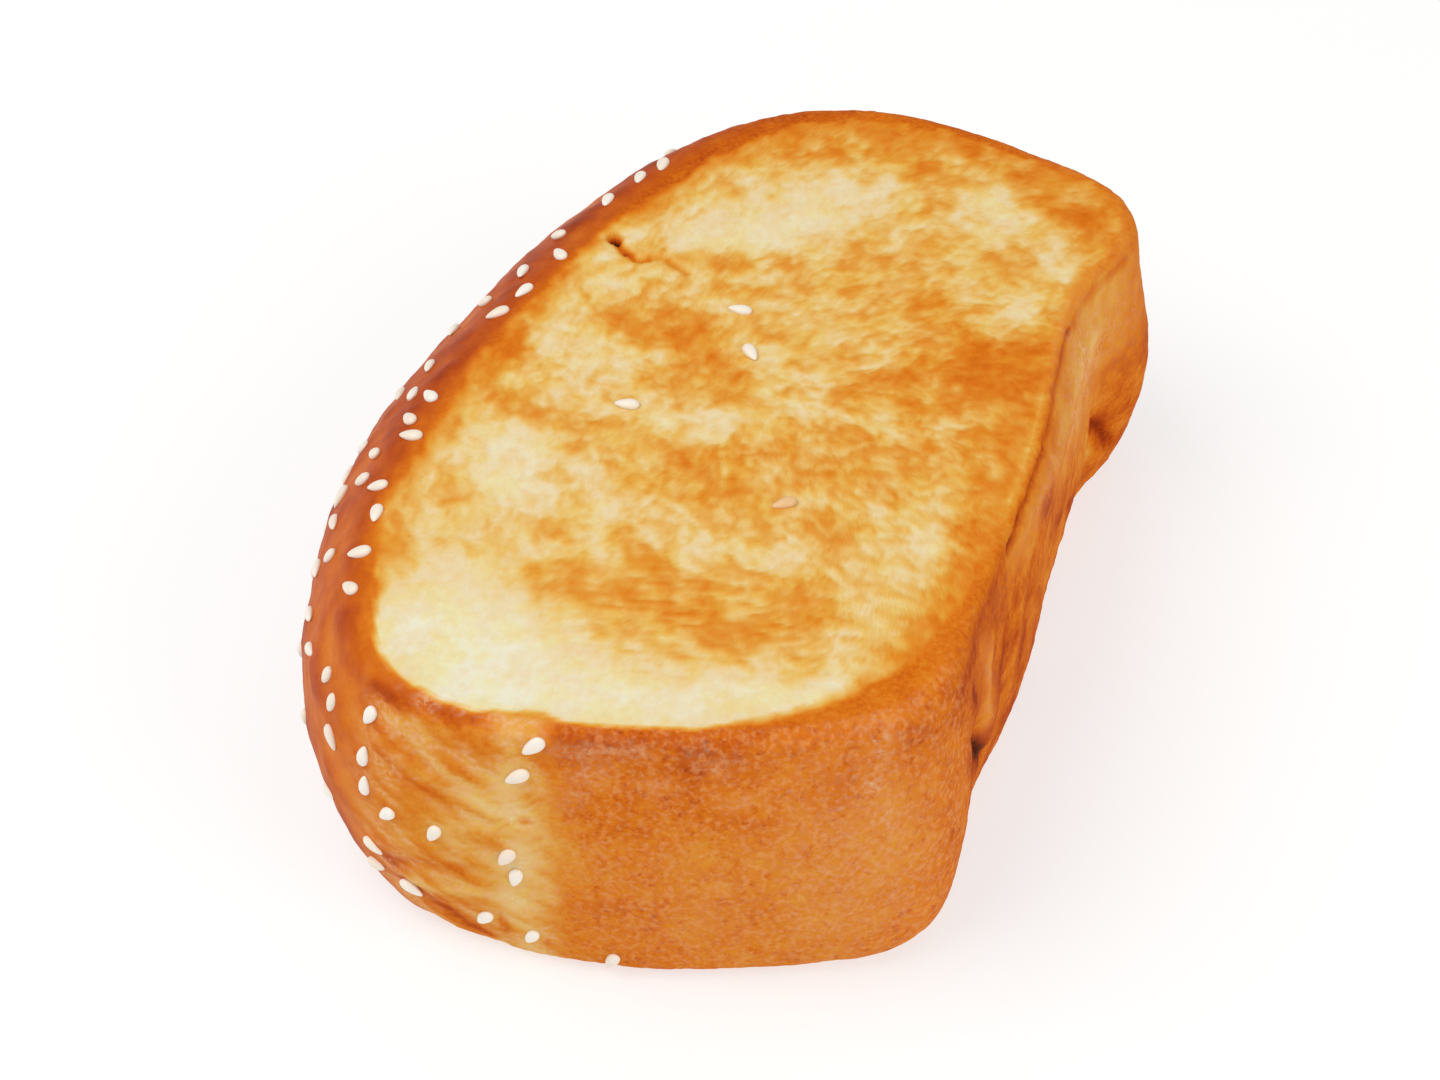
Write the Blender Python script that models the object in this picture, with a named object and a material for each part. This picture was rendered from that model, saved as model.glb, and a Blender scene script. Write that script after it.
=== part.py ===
"""Brioche toast: one thick slice of a domed loaf, lying flat with its toasted face up.

The slice is one solid. Its side wall is the loaf's crust: the domed crown with sesame
seeds towards -X, the pan-baked wall towards -Y, and the loaf's sole towards +X, which
is waisted between two feet. Lengths below are in millimetres, the scene is in metres,
+Z is up, +Y runs along the loaf's width, and the origin is under the middle of the slice.
"""

import math
import random

import bmesh
import bpy
import numpy as np
from mathutils import Matrix, Vector
from mathutils.geometry import delaunay_2d_cdt

MM = 0.001
THICKNESS = 40.0
COLUMNS = 112
FACE_STEP = 4.4
SEED_LENGTH = 3.1
SEED_WIDTH = 1.6
SEED_THICKNESS = 1.1
SEED_STANDS_OUT = 0.15
HIDDEN_SEEDS = 48
HIDDEN_SEED_GAP = 5.6

# The edge of the toasted face, walked round the slice once from the front foot: x, y,
# how far the wall bellies out below it, how far it flares at the bottom, and the
# radii of the rim above and of the foot below.
STATIONS = [
    ("front foot", 35.7, -43.8, 2.0, 1.5, 2.0, 3.6),
    ("sole, front", 37.5, -31.8, 2.0, 0.0, 1.2, 1.8),
    ("sole, middle", 38.6, -11.8, 2.2, 0.5, 1.0, 1.8),
    ("sole, back", 38.2, 8.2, 2.2, 0.5, 1.0, 1.8),
    ("waist", 37.0, 23.2, 3.0, 1.0, 1.0, 1.8),
    ("back foot, heel", 38.7, 34.2, 1.6, 0.0, 1.2, 2.6),
    ("back foot, tip", 40.7, 42.7, 1.0, 0.0, 1.5, 4.0),
    ("back foot, outside", 38.4, 49.5, 0.4, 0.8, 1.5, 2.7),
    ("back wall", 29.2, 54.4, 2.1, 1.0, 1.5, 2.7),
    ("back wall, crown end", 13.9, 58.5, 2.5, 0.5, 1.5, 2.7),
    ("back shoulder", -1.3, 57.5, 4.8, 0.5, 2.0, 3.6),
    ("crown, back", -13.7, 48.1, 9.1, 1.5, 2.5, 4.5),
    ("crown, far side", -21.9, 30.9, 12.2, 2.8, 2.5, 4.5),
    ("crown, top", -27.3, 9.2, 12.0, 2.7, 2.5, 4.5),
    ("crown, near side", -30.4, -13.8, 11.2, 2.9, 2.5, 4.5),
    ("crown, front", -29.3, -34.8, 8.5, 2.1, 2.5, 4.7),
    ("front shoulder", -24.8, -49.8, 5.8, 1.2, 2.5, 5.2),
    ("shred, corner", -18.8, -57.8, 3.2, 0.0, 2.0, 5.4),
    ("shred", -9.3, -60.6, 1.8, -0.5, 1.5, 3.2),
    ("front wall", 7.2, -58.1, 1.0, 1.3, 1.5, 3.2),
    ("front wall, foot end", 25.2, -52.4, 2.4, 0.6, 1.5, 2.6),
]

# Local swellings and creases of the wall: distance walked round the slice, height,
# reach along, reach up, and how far the wall stands out (or in, when negative).
WALL_FEATURES = [
    ("back foot sags outward", 88.8, 17.0, 12.0, 15.0, 3.2),
    ("crease under the back foot", 78.5, 14.0, 3.4, 5.5, -1.8),
    ("torn fold beside the front foot", 11.5, 20.5, 2.4, 4.0, -1.8),
    ("flap over the torn fold", 17.5, 20.0, 3.5, 7.0, 0.8),
    ("soft ridge along the waist", 52.0, 33.5, 18.0, 3.5, 0.8),
    ("shred stands proud of the pan wall", 270.5, 14.0, 9.0, 14.0, 0.6),
]

# Seeds that show from the front: distance round the slice, height, lean in degrees.
SHOWN_SEEDS = [
    (208, 36, -114), (198, 33, -114), (216, 39.3, 40), (214, 37, 75), (211, 33, -114),
    (220, 38.8, 44), (223.5, 39.6, 6), (224, 36, 38), (219, 31, 12), (228.5, 36, 18),
    (232, 39, 6), (237, 39.6, -92), (227, 31, -42), (232, 32, -114), (238.5, 33.5, 16),
    (236.5, 29, -98), (243, 39.2, 10), (248, 38.8, 52), (243, 28.8, -114), (248, 29, -116),
    (254, 32, 16), (256.3, 30.5, 14), (262, 34.8, 22), (257, 26, -46), (261.8, 28.8, -172),
    (262, 24.4, -176), (264.3, 22, 40), (269, 22, 24), (262, 13.8, -76), (265.4, 9.2, -66),
    (248, 17.5, 10), (255, 14, -110), (261.5, 9.5, -112), (276.2, 20.4, 30), (277, 17, 12),
    (273, 7.8, 32), (278, 5.6, 26), (287, 3.2, 24), (279.6, 38, 46), (277.8, 33.4, 54),
    (185.4, 39.7, 36), (189, 38, -114), (194, 39.7, -78), (199, 39.4, -46), (194, 35.6, 12),
    (180, 37.6, 14), (172, 39, -116), (166, 39.3, -118), (162.3, 39.6, -122),
]

# Seeds on the toasted face: x, y, and the direction they point in degrees.
FACE_SEEDS = [(-1.8, 12.5, 0), (1.9, 4.9, 130), (-9.5, -8.8, 10), (13.5, -19.9, 40)]


def periodic_spline(knots, values, places):
    """Cubic spline that closes on itself, read at the places asked for."""
    count = len(values)
    steps = np.diff(knots)
    matrix = np.zeros((count, count))
    right = np.zeros_like(values)
    for i in range(count):
        before, after = steps[i - 1], steps[i]
        matrix[i, i - 1] += before
        matrix[i, i] += 2.0 * (before + after)
        matrix[i, (i + 1) % count] += after
        rise = (values[(i + 1) % count] - values[i]) / after
        right[i] = 6.0 * (rise - (values[i] - values[i - 1]) / before)
    bend = np.linalg.solve(matrix, right)
    places = np.mod(places, knots[-1])
    i = np.clip(np.searchsorted(knots, places, side="right") - 1, 0, count - 1)
    j = (i + 1) % count
    step = steps[i]
    a = ((knots[i + 1] - places) / step)[:, None]
    b = ((places - knots[i]) / step)[:, None]
    cubic = (a ** 3 - a) * bend[i] + (b ** 3 - b) * bend[j]
    return a * values[i] + b * values[j] + cubic * (step ** 2)[:, None] / 6.0


TABLE = np.array([station[1:] for station in STATIONS])
CHORDS = np.linalg.norm(np.roll(TABLE[:, :2], -1, axis=0) - TABLE[:, :2], axis=1)
KNOTS = np.concatenate([[0.0], np.cumsum(CHORDS)])
GIRTH = KNOTS[-1]


def wall_points(along, up):
    """Wall points for distances round the slice and heights given as 0 to 1."""
    along = np.asarray(along, float)
    row = periodic_spline(KNOTS, TABLE, along)
    ahead = periodic_spline(KNOTS, TABLE, along + 0.05)[:, :2]
    behind = periodic_spline(KNOTS, TABLE, along - 0.05)[:, :2]
    run = ahead - behind
    run /= np.linalg.norm(run, axis=1)[:, None]
    outward = np.stack([run[:, 1], -run[:, 0]], axis=1)
    belly, flare, rim, foot = row[:, 2], row[:, 3], row[:, 4], row[:, 5]
    height = up * THICKNESS
    over_rim = np.clip((height - (THICKNESS - rim)) / rim, 0.0, 1.0)
    under_foot = np.clip((foot - height) / foot, 0.0, 1.0)
    out = rim * np.sqrt(1.0 - over_rim ** 2)
    out -= foot * (1.0 - np.sqrt(1.0 - under_foot ** 2))
    out += belly * (1.0 - np.abs(2.0 * up - 1.0) ** 2.2)
    out += flare * (1.0 - up) ** 2 * (1.0 + 2.0 * up)
    fade = np.clip((THICKNESS - height) / 2.0, 0.0, 1.0)
    for _, place, level, reach, rise, depth in WALL_FEATURES:
        apart = np.mod(along - place + GIRTH / 2.0, GIRTH) - GIRTH / 2.0
        hill = np.exp(-(apart / reach) ** 2 - ((height - level) / rise) ** 2)
        out += depth * hill * fade
    points = row[:, :2] + outward * out[:, None]
    return np.column_stack([points, height])


def wall_levels(rim, foot):
    """Heights of one column as 0 to 1: round foot, straight wall, round rim."""
    low = [foot * (1.0 - math.cos(math.radians(a))) for a in (0, 35, 65, 90)]
    high = [THICKNESS - rim * (1.0 - math.sin(math.radians(a))) for a in (0, 30, 60, 90)]
    middle = [low[-1] + (high[0] - low[-1]) * k / 7.0 for k in range(1, 7)]
    return [level / THICKNESS for level in low + middle + high]


def face_height(x, y):
    """The toasted face sags a little where the crumb is open, and has one torn hole."""
    sag = 0.16 * (2.0 + math.sin(x / 7.0 + y / 19.0) + math.sin(y / 8.0 - x / 23.0))
    tear = 1.6 * math.exp(-((x + 21.0) ** 2 + (y - 21.5) ** 2) / 2.6 ** 2)
    return THICKNESS - sag - tear


def inside(point, ring):
    """Whether a point lies inside a closed ring of points."""
    crossings = 0
    for (x0, y0), (x1, y1) in zip(ring, np.roll(ring, -1, axis=0)):
        if (y0 > point[1]) != (y1 > point[1]):
            if point[0] < x0 + (point[1] - y0) * (x1 - x0) / (y1 - y0):
                crossings += 1
    return crossings % 2 == 1


def build_slice():
    """The bare slice: wall columns, a triangulated top face and a flat underside."""
    along = np.linspace(0.0, GIRTH, COLUMNS, endpoint=False)
    rows = periodic_spline(KNOTS, TABLE, along)
    columns = [wall_levels(rim, foot) for rim, foot in rows[:, 4:6]]
    shape = bmesh.new()
    rings = []
    for level in range(len(columns[0])):
        up = np.array([column[level] for column in columns])
        points = wall_points(along, up)
        rings.append([shape.verts.new(Vector(point) * MM) for point in points])
    for lower, upper in zip(rings, rings[1:]):
        for i in range(COLUMNS):
            j = (i + 1) % COLUMNS
            shape.faces.new((lower[i], lower[j], upper[j], upper[i]))
    shape.faces.new(list(reversed(rings[0])))
    edge = np.array([(vert.co.x / MM, vert.co.y / MM) for vert in rings[-1]])
    middle = edge.mean(axis=0)
    guard = middle + (edge - middle) * (1.0 - 2.4 / 45.0)
    grid = []
    row_step = FACE_STEP * math.sqrt(3.0) / 2.0
    for row in range(-18, 19):
        for column in range(-16, 17):
            x = (column + 0.5 * (row % 2)) * FACE_STEP
            y = row * row_step
            if inside((x, y), guard):
                grid.append((x, y))
    flat = [Vector(point) for point in edge] + [Vector(point) for point in grid]
    border = [(i, (i + 1) % COLUMNS) for i in range(COLUMNS)]
    net = delaunay_2d_cdt(flat, border, [], 1, 0.0001)
    top = list(rings[-1])
    for x, y in grid:
        top.append(shape.verts.new(Vector((x, y, face_height(x, y))) * MM))
    for face in net[2]:
        shape.faces.new([top[net[3][i][0]] for i in face])
    bmesh.ops.recalc_face_normals(shape, faces=shape.faces)
    mesh = bpy.data.meshes.new("brioche_toast")
    shape.to_mesh(mesh)
    shape.free()
    toast = bpy.data.objects.new("brioche_toast", mesh)
    bpy.context.scene.collection.objects.link(toast)
    return toast


def seed_mesh():
    """A teardrop seed along its own Z, with its narrow end down."""
    shape = bmesh.new()
    bmesh.ops.create_uvsphere(shape, u_segments=6, v_segments=4, radius=1.0)
    for vert in shape.verts:
        swell = 1.0 + 0.34 * vert.co.z
        vert.co.x *= swell * SEED_WIDTH / 2.0 * MM
        vert.co.y *= swell * SEED_THICKNESS / 2.0 * MM
        vert.co.z *= SEED_LENGTH / 2.0 * MM
    mesh = bpy.data.meshes.new("sesame_seed")
    shape.to_mesh(mesh)
    shape.free()
    return mesh


def wall_frame(place, level):
    """A wall point with the directions outward, along and up the wall there."""
    at = wall_points([place], np.array([level / THICKNESS]))[0]
    along = wall_points([place + 0.5], np.array([level / THICKNESS]))[0] - at
    up = wall_points([place], np.array([(level + 0.5) / THICKNESS]))[0] - at
    along = Vector(along).normalized()
    up = Vector(up).normalized()
    return Vector(at), along.cross(up).normalized(), along, up


def lay_seed(mesh, collection, at, outward, pointing, size):
    """One seed half sunk in the surface, with its long side along `pointing`."""
    across = pointing.cross(outward).normalized()
    turn = Matrix((across, outward, pointing)).transposed()
    place = Matrix.Translation((at + outward * SEED_STANDS_OUT) * MM)
    seed = bpy.data.objects.new("sesame_seed", mesh)
    seed.matrix_world = place @ (turn * size).to_4x4()
    collection.objects.link(seed)


def scatter_hidden_seeds(draw):
    """Seeds on the rest of the crown, spread evenly and clear of the ones shown."""
    places = [(place, level) for place, level, _ in SHOWN_SEEDS]
    found = []
    while len(found) < HIDDEN_SEEDS:
        place = draw.uniform(143.0, 251.0)
        level = draw.uniform(5.0, 37.0)
        if place > 157.0 and level > 25.0:
            continue
        if all(math.hypot(place - p, level - q) > HIDDEN_SEED_GAP for p, q in places):
            places.append((place, level))
            found.append((place, level, draw.uniform(0.0, 180.0)))
    return found


def build_toast():
    """The slice with its seeds fused on by one union."""
    toast = build_slice()
    seeds = bpy.data.collections.new("sesame_seeds")
    bpy.context.scene.collection.children.link(seeds)
    mesh = seed_mesh()
    draw = random.Random(12)
    for place, level, lean in SHOWN_SEEDS + scatter_hidden_seeds(draw):
        at, outward, along, up = wall_frame(place, level)
        angle = math.radians(lean)
        pointing = up * math.cos(angle) + along * math.sin(angle)
        lay_seed(mesh, seeds, at, outward, pointing, draw.uniform(0.92, 1.06))
    for x, y, lean in FACE_SEEDS:
        angle = math.radians(lean)
        pointing = Vector((math.cos(angle), math.sin(angle), 0.0))
        at = Vector((x, y, face_height(x, y) - 0.15))
        lay_seed(mesh, seeds, at, Vector((0.0, 0.0, 1.0)), pointing, 1.0)
    union = toast.modifiers.new("fuse the seeds", "BOOLEAN")
    union.operation = "UNION"
    union.solver = "EXACT"
    union.operand_type = "COLLECTION"
    union.collection = seeds
    graph = bpy.context.evaluated_depsgraph_get()
    fused = bpy.data.meshes.new_from_object(toast.evaluated_get(graph))
    toast.modifiers.clear()
    toast.data = fused
    for seed in list(seeds.objects):
        bpy.data.objects.remove(seed)
    bpy.data.collections.remove(seeds)
    return toast


def toasted_bread():
    """Golden toasted bread, matt with a faint gloss."""
    material = bpy.data.materials.new("toasted_bread")
    material.use_nodes = True
    shader = material.node_tree.nodes["Principled BSDF"]
    shader.inputs["Base Color"].default_value = (0.74, 0.36, 0.10, 1.0)
    shader.inputs["Roughness"].default_value = 0.6
    shader.inputs["Metallic"].default_value = 0.0
    return material


for leftover in list(bpy.data.objects):
    bpy.data.objects.remove(leftover)

brioche_toast = build_toast()
brioche_toast.data.name = "brioche_toast"
brioche_toast.data.materials.clear()
brioche_toast.data.materials.append(toasted_bread())
brioche_toast.data.shade_smooth()
brioche_toast.data.set_sharp_from_angle(angle=math.radians(40.0))
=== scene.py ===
"""Brioche toast: a thick slice of a domed loaf with sesame seeds, lying toasted face up."""

import math
import random

import bpy
import numpy as np
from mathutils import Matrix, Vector, noise


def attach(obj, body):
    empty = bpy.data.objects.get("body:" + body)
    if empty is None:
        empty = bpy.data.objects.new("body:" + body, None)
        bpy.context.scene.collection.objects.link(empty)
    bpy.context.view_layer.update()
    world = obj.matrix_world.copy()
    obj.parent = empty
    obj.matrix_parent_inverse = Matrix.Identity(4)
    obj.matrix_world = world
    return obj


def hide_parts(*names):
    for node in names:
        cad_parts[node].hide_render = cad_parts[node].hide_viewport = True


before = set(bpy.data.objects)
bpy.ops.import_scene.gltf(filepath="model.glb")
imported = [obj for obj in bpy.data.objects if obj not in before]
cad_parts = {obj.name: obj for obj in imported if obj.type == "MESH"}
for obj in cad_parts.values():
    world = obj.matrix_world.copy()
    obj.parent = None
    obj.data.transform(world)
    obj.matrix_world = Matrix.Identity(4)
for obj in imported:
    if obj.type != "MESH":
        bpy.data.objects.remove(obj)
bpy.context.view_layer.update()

# The table top and the studio. The slice lies on a plain white table under a wide soft
# lamp from the upper left, a second soft lamp from the right, and pale light all round.
# The camera looks down at 44 degrees, a little from the sole's side of the front.
table_reach = 1.5
table_height = -0.0001
table_corners = [(-1.0, -1.0), (1.0, -1.0), (1.0, 1.0), (-1.0, 1.0)]
table_mesh = bpy.data.meshes.new("table_top")
table_mesh.from_pydata(
    [(across * table_reach, back * table_reach, table_height) for across, back in table_corners],
    [], [(0, 1, 2, 3)])
table_top = bpy.data.objects.new("table_top", table_mesh)
bpy.context.scene.collection.objects.link(table_top)
table_white = bpy.data.materials.new("table_white")
table_white.use_nodes = True
table_shader = table_white.node_tree.nodes["Principled BSDF"]
table_shader.inputs["Base Color"].default_value = (0.38, 0.38, 0.38, 1.0)
table_shader.inputs["Roughness"].default_value = 0.7
table_shader.inputs["Emission Color"].default_value = (1.0, 1.0, 1.0, 1.0)
table_shader.inputs["Emission Strength"].default_value = 0.62
table_mesh.materials.append(table_white)


def aim(thing, at):
    """Turns a lamp or the camera so that it looks at a place."""
    thing.rotation_euler = (Vector(at) - thing.location).to_track_quat("-Z", "Y").to_euler()


def soft_lamp(name, place, size, watts, tint):
    """A square lamp behind a diffusing cloth, turned to the slice."""
    lamp_data = bpy.data.lights.new(name, "AREA")
    lamp_data.shape = "SQUARE"
    lamp_data.size = size
    lamp_data.energy = watts
    lamp_data.color = tint
    lamp = bpy.data.objects.new(name, lamp_data)
    lamp.location = place
    aim(lamp, (0.0, 0.0, 0.02))
    bpy.context.scene.collection.objects.link(lamp)


soft_lamp("lamp_upper_left", (-0.45, -0.25, 0.9), 0.7, 5.75, (1.0, 0.98, 0.95))
soft_lamp("lamp_right", (0.85, -0.3, 0.55), 0.6, 3.2, (1.0, 0.98, 0.96))
studio = bpy.data.worlds.new("studio")
studio.use_nodes = True
studio.node_tree.nodes["Background"].inputs["Color"].default_value = (1.0, 1.0, 1.0, 1.0)
studio.node_tree.nodes["Background"].inputs["Strength"].default_value = 0.5
bpy.context.scene.world = studio
bpy.context.scene.view_settings.view_transform = "Standard"

camera_data = bpy.data.cameras.new("camera")
camera_data.lens = 65.0
camera_data.sensor_width = 36.0
camera_data.clip_start = 0.01
camera = bpy.data.objects.new("camera", camera_data)
camera.location = (0.0719, -0.2310, 0.2456)
aim(camera, (0.0082, -0.0278, 0.040))
bpy.context.scene.collection.objects.link(camera)
bpy.context.scene.camera = camera

# The slice. It is one piece of brioche, baked in a pan and cut 40 mm thick: the domed
# crown to the left was brushed with egg, the wall in front baked against the pan, and the
# loaf's sole to the right drew in between two feet. Both cut faces were toasted.
mm = 0.001
thickness = 40.0

# The edge of the toasted face, once round from the front foot, in mm: x, y, how far the
# wall bellies out below it, how far it flares at the bottom, and the radii of rim and foot.
face_edge = np.array([
    (35.7, -43.8, 2.0, 1.5, 2.0, 3.6),
    (37.5, -31.8, 2.0, 0.0, 1.2, 1.8),
    (38.6, -11.8, 2.2, 0.5, 1.0, 1.8),
    (38.2, 8.2, 2.2, 0.5, 1.0, 1.8),
    (37.0, 23.2, 3.0, 1.0, 1.0, 1.8),
    (38.7, 34.2, 1.6, 0.0, 1.2, 2.6),
    (40.7, 42.7, 1.0, 0.0, 1.5, 4.0),
    (38.4, 49.5, 0.4, 0.8, 1.5, 2.7),
    (29.2, 54.4, 2.1, 1.0, 1.5, 2.7),
    (13.9, 58.5, 2.5, 0.5, 1.5, 2.7),
    (-1.3, 57.5, 4.8, 0.5, 2.0, 3.6),
    (-13.7, 48.1, 9.1, 1.5, 2.5, 4.5),
    (-21.9, 30.9, 12.2, 2.8, 2.5, 4.5),
    (-27.3, 9.2, 12.0, 2.7, 2.5, 4.5),
    (-30.4, -13.8, 11.2, 2.9, 2.5, 4.5),
    (-29.3, -34.8, 8.5, 2.1, 2.5, 4.7),
    (-24.8, -49.8, 5.8, 1.2, 2.5, 5.2),
    (-18.8, -57.8, 3.2, 0.0, 2.0, 5.4),
    (-9.3, -60.6, 1.8, -0.5, 1.5, 3.2),
    (7.2, -58.1, 1.0, 1.3, 1.5, 3.2),
    (25.2, -52.4, 2.4, 0.6, 1.5, 2.6),
])
chords = np.linalg.norm(np.roll(face_edge[:, :2], -1, axis=0) - face_edge[:, :2], axis=1)
knots = np.concatenate([[0.0], np.cumsum(chords)])
girth = knots[-1]


def round_the_slice(values, places):
    """A smooth closed curve through the values given at the edge's stations."""
    count = len(values)
    steps = np.diff(knots)
    matrix = np.zeros((count, count))
    right = np.zeros_like(values)
    for i in range(count):
        before, after = steps[i - 1], steps[i]
        matrix[i, i - 1] += before
        matrix[i, i] += 2.0 * (before + after)
        matrix[i, (i + 1) % count] += after
        rise = (values[(i + 1) % count] - values[i]) / after
        right[i] = 6.0 * (rise - (values[i] - values[i - 1]) / before)
    bend = np.linalg.solve(matrix, right)
    places = np.mod(places, girth)
    i = np.clip(np.searchsorted(knots, places, side="right") - 1, 0, count - 1)
    j = (i + 1) % count
    step = steps[i]
    to_go = ((knots[i + 1] - places) / step)[:, None]
    gone = ((places - knots[i]) / step)[:, None]
    cubic = (to_go ** 3 - to_go) * bend[i] + (gone ** 3 - gone) * bend[j]
    return to_go * values[i] + gone * values[j] + cubic * (step ** 2)[:, None] / 6.0


# Swellings and creases of the wall, in mm: distance round the slice, height, reach along,
# reach up, and how far the wall stands out. They fade out just under the rim.
belly_power = 2.2
fade_depth = 2.0
short_way = 0.05
wall_features = [
    (88.8, 17.0, 12.0, 15.0, 3.2),
    (78.5, 14.0, 3.4, 5.5, -1.8),
    (11.5, 20.5, 2.4, 4.0, -1.8),
    (17.5, 20.0, 3.5, 7.0, 0.8),
    (52.0, 33.5, 18.0, 3.5, 0.8),
    (270.5, 14.0, 9.0, 14.0, 0.6),
]


def apart_round(places, place):
    """Signed distance round the slice from a place."""
    return np.mod(places - place + girth / 2.0, girth) - girth / 2.0


def wall_points(along, up):
    """Points of the smooth wall for distances round the slice and heights 0 to 1."""
    along = np.asarray(along, float)
    row = round_the_slice(face_edge, along)
    ahead = round_the_slice(face_edge, along + short_way)[:, :2]
    behind = round_the_slice(face_edge, along - short_way)[:, :2]
    run = ahead - behind
    run /= np.linalg.norm(run, axis=1)[:, None]
    outward = np.stack([run[:, 1], -run[:, 0]], axis=1)
    belly, flare, rim, foot = row[:, 2], row[:, 3], row[:, 4], row[:, 5]
    height = up * thickness
    over_rim = np.clip((height - (thickness - rim)) / rim, 0.0, 1.0)
    under_foot = np.clip((foot - height) / foot, 0.0, 1.0)
    out = rim * np.sqrt(1.0 - over_rim ** 2)
    out -= foot * (1.0 - np.sqrt(1.0 - under_foot ** 2))
    out += belly * (1.0 - np.abs(2.0 * up - 1.0) ** belly_power)
    out += flare * (1.0 - up) ** 2 * (1.0 + 2.0 * up)
    fade = np.clip((thickness - height) / fade_depth, 0.0, 1.0)
    for place, level, reach, rise, depth in wall_features:
        hill = np.exp(-(apart_round(along, place) / reach) ** 2 - ((height - level) / rise) ** 2)
        out += depth * hill * fade
    return np.column_stack([row[:, :2] + outward * out[:, None], height])


# The wall is a net of columns round the slice. Each column steps up its round foot, the
# wall and the round rim. Every point keeps its distance round and how far it lies inside
# the face's edge, and says whether it is on the wall (0), the face (1) or the underside (-1).
columns = 576
foot_steps = 6
wall_steps = 56
rim_steps = 8
quarter_turn = math.pi / 2.0


def column_of_heights(rim, foot):
    """Heights of one column of the wall, 0 to 1."""
    low = [foot * (1.0 - math.cos(turn)) for turn in np.linspace(0.0, quarter_turn, foot_steps)]
    high = [thickness - rim * (1.0 - math.sin(turn))
            for turn in np.linspace(0.0, quarter_turn, rim_steps)]
    wall = np.linspace(low[-1], high[0], wall_steps + 1)[1:-1]
    return np.array(low + list(wall) + high) / thickness


corner_places = np.linspace(0.0, girth, columns, endpoint=False)
corner_rows = round_the_slice(face_edge, corner_places)
column_heights = np.array([column_of_heights(row[4], row[5]) for row in corner_rows])
levels = column_heights.shape[1]
points = []
place_round = []
inward = []
sheet_of = []
for level in range(levels):
    points.append(wall_points(corner_places, column_heights[:, level]))
    place_round.append(corner_places)
    inward.append(-np.linalg.norm(points[-1][:, :2] - corner_rows[:, :2], axis=1))
    sheet_of.append(np.zeros(columns))
faces = []
for level in range(levels - 1):
    lower = level * columns
    upper = lower + columns
    for i in range(columns):
        j = (i + 1) % columns
        faces.append((lower + i, lower + j, upper + j, upper + i))

# Each cut face is closed by rings that shrink to its middle, which lies about 40 mm in
# from the edge. A ring has half the points of the one outside it where they crowd.
face_rings = 92
underside_rings = 42
middle = np.array([2.5, -3.6])
middle_inward = 40.0
fewest_points = 9
crowding = 1.9


def close_with_rings(edge_level, rings, sheet):
    """Closes the wall's top or bottom edge. The sheet is 1 for the face, -1 underneath."""
    edge = points[edge_level]
    first = sum(len(part) for part in points)
    ids = np.arange(columns) + edge_level * columns
    places = corner_places
    ring_edge = edge
    for ring in range(1, rings):
        share = 1.0 - ring / rings
        wanted = max(fewest_points, int(columns * min(1.0, share * crowding)))
        halve = len(ids) % 2 == 0 and len(ids) > 1.5 * wanted
        if halve:
            ring_edge = ring_edge[::2]
            places = places[::2]
        new = np.column_stack([middle + (ring_edge[:, :2] - middle) * share, ring_edge[:, 2]])
        new_ids = np.arange(len(new)) + first
        for k in range(len(new)):
            inner, next_inner = new_ids[k], new_ids[(k + 1) % len(new)]
            if halve:
                outer, between, next_outer = ids[2 * k], ids[2 * k + 1], ids[(2 * k + 2) % len(ids)]
                around_here = [
                    (outer, between, inner), (between, next_inner, inner),
                    (between, next_outer, next_inner)]
            else:
                around_here = [(ids[k], ids[(k + 1) % len(ids)], next_inner, inner)]
            faces.extend(face if sheet > 0 else face[::-1] for face in around_here)
        points.append(new)
        place_round.append(places)
        inward.append(np.linalg.norm(ring_edge[:, :2] - middle, axis=1) * (1.0 - share))
        sheet_of.append(np.full(len(new), float(sheet)))
        first += len(new)
        ids = new_ids
    points.append(np.array([[middle[0], middle[1], edge[0, 2]]]))
    place_round.append(np.zeros(1))
    inward.append(np.full(1, middle_inward))
    sheet_of.append(np.full(1, float(sheet)))
    for k in range(len(ids)):
        last = (ids[k], ids[(k + 1) % len(ids)], first)
        faces.append(last if sheet > 0 else last[::-1])


close_with_rings(levels - 1, face_rings, 1)
close_with_rings(0, underside_rings, -1)
points = np.concatenate(points)
place_round = np.concatenate(place_round)
inward = np.concatenate(inward)
sheet_of = np.concatenate(sheet_of)

slice_mesh = bpy.data.meshes.new("brioche_slice")
slice_mesh.from_pydata((points * mm).tolist(), [], faces)
slice_mesh.update()
normals = np.zeros(len(points) * 3)
slice_mesh.vertex_normals.foreach_get("vector", normals)
normals = normals.reshape(-1, 3)
x, y, z = points.T
on_top = sheet_of > 0
underneath = sheet_of < 0
on_wall = sheet_of == 0
flat_face = on_top | underneath
toasted_depth = 2.6
toasted = on_top | (on_wall & (z > thickness - toasted_depth))


def smooth(low, high, value):
    """0 below low, 1 above high, and a soft step between."""
    share = np.clip((value - low) / (high - low), 0.0, 1.0)
    return share * share * (3.0 - 2.0 * share)


def grain(chosen, scaled, shift, octaves=2):
    """Smooth uneven noise from about -1 to 1 on the chosen points, 0 on the others."""
    values = np.zeros(len(points))
    values[chosen] = [
        noise.fractal((a + shift, b - shift, c + 0.37 * shift), 0.9, 2.0, octaves)
        for a, b, c in scaled[chosen]]
    return values


def by_place(rows, column):
    """Reads one column of a table whose first column is the distance round the slice."""
    table = np.array(rows)
    return np.interp(place_round, table[:, 0], table[:, column], period=girth)


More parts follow.
